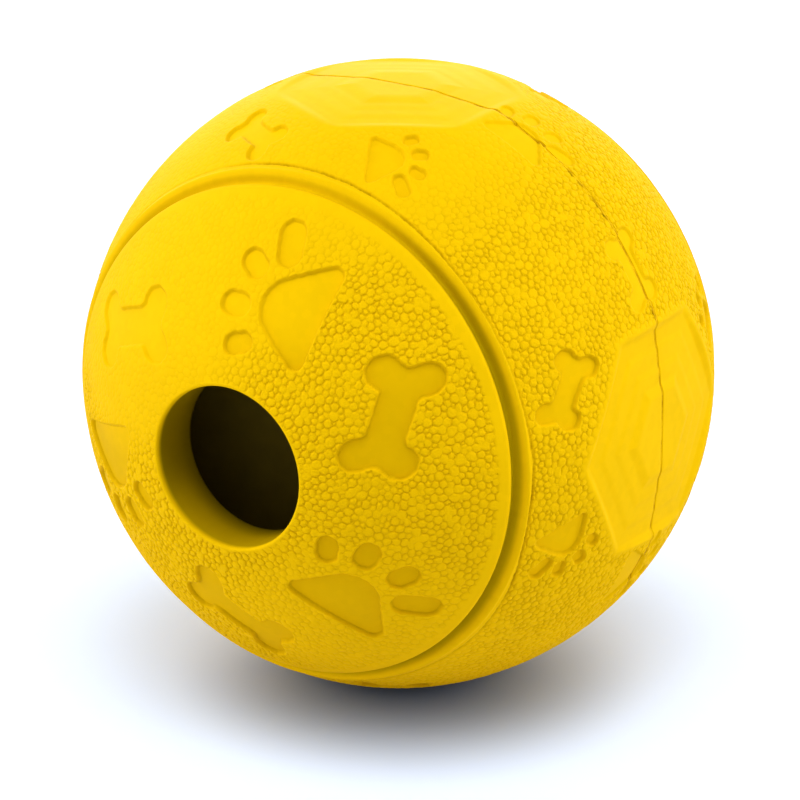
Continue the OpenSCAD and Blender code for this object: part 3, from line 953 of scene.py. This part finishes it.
def light_studio(scene, right, back):
    """Soft boxes overhead, at both sides and behind, as the shading shows, and a weak one by the camera."""
    world = bpy.data.worlds.new("studio")
    world.use_nodes = True
    tree = world.node_tree
    tree.nodes.clear()
    where = node(tree, "ShaderNodeTexCoord").outputs["Generated"]
    ahead = Vector((-back.x, -back.y, 0)).normalized()
    aside = Vector((right.x, right.y, 0)).normalized()
    total = 0.0
    for round_deg, high_deg, level in SOFT_BOXES:
        around, high = math.radians(round_deg), math.radians(high_deg)
        aim = (aside * math.cos(around) + ahead * math.sin(around)) * math.cos(high)
        aim = aim + Vector((0, 0, math.sin(high)))
        near = {0: where, 1: list(aim)}
        near = node(tree, "ShaderNodeVectorMath", near, operation="DOT_PRODUCT").outputs["Value"]
        near = node(tree, "ShaderNodeMath", {0: near, 1: 0.0}, operation="MAXIMUM").outputs[0]
        near = node(tree, "ShaderNodeMath", {0: near, 1: SOFT_BOX_FOCUS}, operation="POWER").outputs[0]
        total = node(
            tree, "ShaderNodeMath", {0: near, 1: level, 2: total}, operation="MULTIPLY_ADD").outputs[0]
    sky = node(tree, "ShaderNodeBackground", {"Color": (1, 1, 1, 1), "Strength": total})
    node(tree, "ShaderNodeOutputWorld", {"Surface": sky.outputs[0]})
    scene.world = world


class OBJECT_OT_ball_front(bpy.types.Operator):
    """Build the pebbled front half"""

    bl_idname = "object.ball_front"
    bl_label = "Front half"

    def execute(self, context):
        colours = context.scene.ball_colours
        material = bpy.data.materials.get("moulded yellow rubber") or skin_rubber(colours)
        for piece in build_half(context.scene.ball_sizes, False, material):
            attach(piece, "root")
            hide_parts("front_shell")
        return {"FINISHED"}


class OBJECT_OT_ball_rear(bpy.types.Operator):
    """Build the pebbled rear half"""

    bl_idname = "object.ball_rear"
    bl_label = "Rear half"

    def execute(self, context):
        colours = context.scene.ball_colours
        material = bpy.data.materials.get("moulded yellow rubber") or skin_rubber(colours)
        for piece in build_half(context.scene.ball_sizes, True, material):
            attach(piece, "root")
            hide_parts("rear_shell")
        return {"FINISHED"}


class OBJECT_OT_ball_seam(bpy.types.Operator):
    """Build the bond between the halves, which shows as the seam line"""

    bl_idname = "object.ball_seam"
    bl_label = "Seam line"

    def execute(self, context):
        size = context.scene.ball_sizes
        cavity = size.ball_r - size.wall_t
        half = size.bond_t / 2
        columns = 2688
        psi = angles(columns)
        seam = np.full(columns, math.pi / 2)
        radius = skin_surface(size, direction(seam, psi), seam, psi, False)[0]
        rng = np.random.default_rng(3)
        rough = np.convolve(rng.normal(size=columns + 8), np.ones(5) / 5, mode="same")[4:-4]
        cut = 0.035 * MM * np.clip(1 + waves(psi, 21, 7, 6) + 1.2 * rough, 0, 2.6)
        # A flat ring, whose outer edge has a ragged cut along its middle.
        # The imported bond's cup round the tongue, which lies inside the wall, is left out.
        points = [ring(cavity, half, psi), ring(cavity, -half, psi)]
        for along, sunk in ((-half, 0.01 * MM), (0.0, cut), (half, 0.01 * MM)):
            points.append(ring(radius - sunk, along, psi))
        rows = len(points)
        points = np.concatenate(points)
        points[:, 2] += size.stand_h
        groups = []
        for i in range(rows):
            row_faces(i * columns, columns, (i + 1) % rows * columns, columns, groups)
        mesh = plain_mesh("seam_flash", points, [face for where, face in groups])
        mesh.materials.append(cement_rubber(context.scene.ball_colours))
        piece = bpy.data.objects.new("seam_flash", mesh)
        context.scene.collection.objects.link(piece)
        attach(piece, "root")
        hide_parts("seam_bond")
        return {"FINISHED"}


class OBJECT_OT_ball_discs(bpy.types.Operator):
    """Give the two labyrinth discs their rubber"""

    bl_idname = "object.ball_discs"
    bl_label = "Discs"

    def execute(self, context):
        material = disc_rubber(context.scene.ball_colours)
        for name in ("front_baffle", "rear_baffle"):
            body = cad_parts[name]
            if not body.material_slots:
                body.data.materials.append(material)
            for slot in body.material_slots:
                slot.material = material
        return {"FINISHED"}


class OBJECT_OT_ball_stage(bpy.types.Operator):
    """Set up the floor, the light and the camera"""

    bl_idname = "object.ball_stage"
    bl_label = "Studio"

    def execute(self, context):
        scene = context.scene
        wide = 1.5
        corners = [(-wide, -wide, 0), (wide, -wide, 0), (wide, wide, 0), (-wide, wide, 0)]
        mesh = bpy.data.meshes.new("floor")
        mesh.from_pydata(corners, [], [(0, 1, 2, 3)])
        mesh.materials.append(studio_paper(scene.ball_colours))
        floor = bpy.data.objects.new("floor", mesh)
        scene.collection.objects.link(floor)
        back = Vector(VIEW_BACK).normalized()
        right = Vector(VIEW_UP).cross(back).normalized()
        up = back.cross(right)
        add_camera(scene, scene.ball_sizes, right, up, back)
        light_studio(scene, right, back)
        scene.view_settings.view_transform = "Standard"
        return {"FINISHED"}


class VIEW3D_PT_ball(bpy.types.Panel):
    """Lists the ball's build steps"""

    bl_label = "Treat Ball"
    bl_space_type = "VIEW_3D"
    bl_region_type = "UI"
    bl_category = "Treat Ball"

    def draw(self, context):
        for step in STEPS:
            self.layout.operator(step.bl_idname)


STEPS = (
    OBJECT_OT_ball_front, OBJECT_OT_ball_rear, OBJECT_OT_ball_seam, OBJECT_OT_ball_discs,
    OBJECT_OT_ball_stage,
)
CLASSES = (BallSizes, BallColours) + STEPS + (VIEW3D_PT_ball,)


def register():
    """Registers the classes and the settings on the scene."""
    for cls in CLASSES:
        bpy.utils.register_class(cls)
    bpy.types.Scene.ball_sizes = bpy.props.PointerProperty(type=BallSizes)
    bpy.types.Scene.ball_colours = bpy.props.PointerProperty(type=BallColours)


def unregister():
    """Takes the settings and the classes away again."""
    del bpy.types.Scene.ball_colours
    del bpy.types.Scene.ball_sizes
    for cls in reversed(CLASSES):
        bpy.utils.unregister_class(cls)


def main():
    """Builds everything in order."""
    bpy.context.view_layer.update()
    register()
    for step in STEPS:
        group, name = step.bl_idname.split(".")
        getattr(getattr(bpy.ops, group), name)()


if __name__ == "__main__":
    main()
